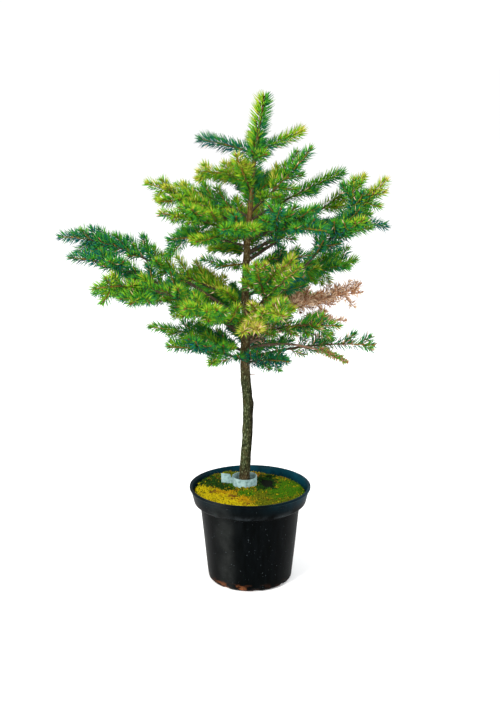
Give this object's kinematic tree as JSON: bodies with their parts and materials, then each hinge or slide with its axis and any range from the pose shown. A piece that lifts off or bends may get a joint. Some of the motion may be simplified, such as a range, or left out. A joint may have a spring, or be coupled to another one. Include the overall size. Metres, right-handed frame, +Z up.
{
  "type": "potted wilson spruce",
  "caption": "Young spruce tree with a bare lower trunk and open tiers of needled boughs, growing in a round black plastic nursery pot with moss and a blank loop label.",
  "frame": {"origin": "centre of the pot's flat underside, on the pot's axis", "axes": "+Z up along the pot's axis, -Y towards the viewer of the picture, +X to the viewer's right"},
  "size_m": [0.5683, 0.4001, 0.843],
  "materials": {
    "bark": "rough, flaky, with green algae",
    "twig_bark": "rough",
    "needles": "satin, light green on the newest shoots and blue green in the shade",
    "dry_twigs": "dry and rough",
    "pot_plastic": "satin, scuffed and dusty",
    "soil": "crumbly",
    "moss": "fibrous",
    "label_plastic": "satin"
  },
  "bodies": {
    "root": {"bottom_front_left_needles": "needles", "bottom_front_needles": "needles", "bottom_left_needles": "needles", "bottom_rear_needles": "needles", "bottom_right_limb": "twig_bark", "bottom_right_needles": "needles", "dead_bottom_right_twigs": "dry_twigs", "dead_lower_right_needles": "dry_twigs", "dead_right_needles": "dry_twigs", "fifth_far_right_needles": "needles", "fifth_rear_needles": "needles", "fifth_right_limb": "twig_bark", "fifth_right_needles": "needles", "fourth_front_left_needles": "needles", "fourth_front_needles": "needles", "fourth_front_right_needles": "needles", "fourth_left_limb": "twig_bark", "fourth_left_needles": "needles", "fourth_rear_left_needles": "needles", "fourth_rear_right_needles": "needles", "inner_far_right_needles": "needles", "inner_left_needles": "needles", "inner_right_needles": "needles", "long_left_limb": "twig_bark", "long_left_low_needles": "needles", "long_left_needles": "needles", "loop_label": "label_plastic", "lower_front_left_needles": "needles", "lower_front_needles": "needles", "lower_front_right_needles": "needles", "lower_rear_left_needles": "needles", "lower_rear_needles": "needles", "lower_rear_right_needles": "needles", "lower_right_needles": "needles", "moss": "moss", "needles_on_leader": "needles", "needles_under_top": "needles", "over_long_left_needles": "needles", "pot": "pot_plastic", "second_back_needles": "needles", "second_front_needles": "needles", "second_left_needles": "needles", "second_long_left_limb": "twig_bark", "second_long_left_needles": "needles", "second_rear_left_needles": "needles", "second_right_needles": "needles", "sixth_rear_right_needles": "needles", "small_left_needles": "needles", "soil": "soil", "steep_right_limb": "twig_bark", "steep_right_needles": "needles", "third_back_needles": "needles", "third_left_needles": "needles", "third_right_needles": "needles", "third_right_steep_needles": "needles", "top_back_needles": "needles", "top_front_needles": "needles", "top_left_needles": "needles", "top_right_needles": "needles", "trunk": "bark"}
  },
  "joints": []
}
